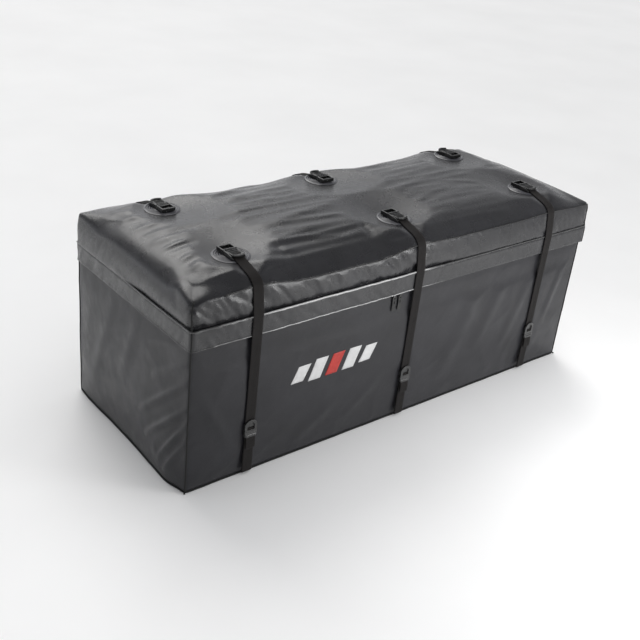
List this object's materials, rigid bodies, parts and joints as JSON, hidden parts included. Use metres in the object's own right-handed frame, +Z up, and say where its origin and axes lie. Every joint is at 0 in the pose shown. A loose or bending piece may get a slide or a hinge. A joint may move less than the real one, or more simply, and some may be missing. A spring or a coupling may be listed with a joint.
{
  "type": "hitch tray cargo bag",
  "caption": "Soft weather-resistant zip-top cargo bag for a vehicle hitch tray, with rain flaps over the zip and adjustable webbing tie-down straps.",
  "frame": {"origin": "on the ground under the middle of the bag, at the middle of the bounding box", "axes": "+X along the bag's length towards its right end seen from the front, -Y towards the front with the zip pulls, +Z up"},
  "size_m": [1.219, 0.499, 0.4934],
  "materials": {
    "shell_fabric": "coated woven polyester, satin",
    "lid_fabric": "coated woven polyester, semi-gloss",
    "binding_tape": "matte woven tape",
    "webbing": "matte ribbed polypropylene webbing",
    "buckle_plastic": "satin moulded acetal",
    "moulded_patch": "soft satin moulded vinyl",
    "zip_metal": "black enamelled die-cast",
    "pull_rubber": "matte moulded grip"
  },
  "bodies": {
    "bag": {"floor_panel": "shell_fabric", "front_panel": "shell_fabric", "back_panel": "shell_fabric", "left_end_panel": "shell_fabric", "right_end_panel": "shell_fabric", "hinge_strip": "binding_tape", "lower_zip_tape": "binding_tape", "back_strap_lower_left": "webbing", "back_strap_lower_center": "webbing", "back_strap_lower_right": "webbing", "back_adjuster_left": "buckle_plastic", "back_adjuster_center": "buckle_plastic", "back_adjuster_right": "buckle_plastic"},
    "lid": {"lid_top": "lid_fabric", "lid_front_band": "lid_fabric", "lid_back_band": "lid_fabric", "lid_left_band": "lid_fabric", "lid_right_band": "lid_fabric", "upper_zip_tape": "binding_tape", "front_rain_flap": "lid_fabric", "left_rain_flap": "lid_fabric", "right_rain_flap": "lid_fabric", "patch_front_left": "moulded_patch", "patch_front_center": "moulded_patch", "patch_front_right": "moulded_patch", "patch_back_left": "moulded_patch", "patch_back_center": "moulded_patch", "patch_back_right": "moulded_patch", "lid_buckle_front_left": "buckle_plastic", "lid_buckle_front_center": "buckle_plastic", "lid_buckle_front_right": "buckle_plastic", "lid_buckle_back_left": "buckle_plastic", "lid_buckle_back_center": "buckle_plastic", "lid_buckle_back_right": "buckle_plastic", "front_strap_upper_left": "webbing", "front_strap_upper_center": "webbing", "front_strap_upper_right": "webbing", "back_strap_upper_left": "webbing", "back_strap_upper_center": "webbing", "back_strap_upper_right": "webbing"},
    "front_strap_left": {"front_strap_drop_left": "webbing", "front_adjuster_left": "buckle_plastic", "front_strap_loop_left": "webbing"},
    "front_strap_center": {"front_strap_drop_center": "webbing", "front_adjuster_center": "buckle_plastic", "front_strap_loop_center": "webbing"},
    "front_strap_right": {"front_strap_drop_right": "webbing", "front_adjuster_right": "buckle_plastic", "front_strap_loop_right": "webbing"},
    "lever_front_left": {"buckle_lever_front_left": "buckle_plastic"},
    "lever_front_center": {"buckle_lever_front_center": "buckle_plastic"},
    "lever_front_right": {"buckle_lever_front_right": "buckle_plastic"},
    "lever_back_left": {"buckle_lever_back_left": "buckle_plastic"},
    "lever_back_center": {"buckle_lever_back_center": "buckle_plastic"},
    "lever_back_right": {"buckle_lever_back_right": "buckle_plastic"},
    "slider_left": {"zip_slider_left": "zip_metal"},
    "pull_left": {"zip_pull_left": "pull_rubber"},
    "slider_right": {"zip_slider_right": "zip_metal"},
    "pull_right": {"zip_pull_right": "pull_rubber"}
  },
  "joints": [
    {"name": "lid_open", "type": "hinge", "parent": "bag", "child": "lid", "pos_m": [0, 0.242, 0.362], "axis": [-1, 0, 0], "range_deg": [0, 180]},
    {"name": "strap_swing_left", "type": "hinge", "parent": "lid", "child": "front_strap_left", "pos_m": [-0.45, -0.24255, 0.3425], "axis": [1, 0, 0], "range_deg": [0, 90]},
    {"name": "strap_swing_center", "type": "hinge", "parent": "lid", "child": "front_strap_center", "pos_m": [0, -0.24255, 0.3425], "axis": [1, 0, 0], "range_deg": [0, 90]},
    {"name": "strap_swing_right", "type": "hinge", "parent": "lid", "child": "front_strap_right", "pos_m": [0.45, -0.24255, 0.3425], "axis": [1, 0, 0], "range_deg": [0, 90]},
    {"name": "tension_lever_front_left", "type": "hinge", "parent": "lid", "child": "lever_front_left", "pos_m": [-0.45, -0.137, 0.4892], "axis": [-1, 0, 0], "range_deg": [0, 50], "stiffness_Nm_per_rad": 0.08},
    {"name": "tension_lever_front_center", "type": "hinge", "parent": "lid", "child": "lever_front_center", "pos_m": [0, -0.137, 0.4892], "axis": [-1, 0, 0], "range_deg": [0, 50], "stiffness_Nm_per_rad": 0.08},
    {"name": "tension_lever_front_right", "type": "hinge", "parent": "lid", "child": "lever_front_right", "pos_m": [0.45, -0.137, 0.4892], "axis": [-1, 0, 0], "range_deg": [0, 50], "stiffness_Nm_per_rad": 0.08},
    {"name": "tension_lever_back_left", "type": "hinge", "parent": "lid", "child": "lever_back_left", "pos_m": [-0.45, 0.137, 0.4892], "axis": [1, 0, 0], "range_deg": [0, 50], "stiffness_Nm_per_rad": 0.08},
    {"name": "tension_lever_back_center", "type": "hinge", "parent": "lid", "child": "lever_back_center", "pos_m": [0, 0.137, 0.4892], "axis": [1, 0, 0], "range_deg": [0, 50], "stiffness_Nm_per_rad": 0.08},
    {"name": "tension_lever_back_right", "type": "hinge", "parent": "lid", "child": "lever_back_right", "pos_m": [0.45, 0.137, 0.4892], "axis": [1, 0, 0], "range_deg": [0, 50], "stiffness_Nm_per_rad": 0.08},
    {"name": "zip_slide_left", "type": "slide", "parent": "bag", "child": "slider_left", "axis": [-1, 0, 0], "range_m": [0, 0.52]},
    {"name": "zip_pull_left_swing", "type": "hinge", "parent": "slider_left", "child": "pull_left", "pos_m": [-0.065, -0.23685, 0.337], "axis": [-1, 0, 0], "range_deg": [0, 80]},
    {"name": "zip_slide_right", "type": "slide", "parent": "bag", "child": "slider_right", "axis": [1, 0, 0], "range_m": [0, 0.632]},
    {"name": "zip_pull_right_swing", "type": "hinge", "parent": "slider_right", "child": "pull_right", "pos_m": [-0.047, -0.23685, 0.337], "axis": [-1, 0, 0], "range_deg": [0, 80]}
  ],
  "couplings": [
    {"joint": "strap_swing_left", "follows": "lid_open", "ratio": 0.5},
    {"joint": "strap_swing_center", "follows": "lid_open", "ratio": 0.5},
    {"joint": "strap_swing_right", "follows": "lid_open", "ratio": 0.5}
  ]
}
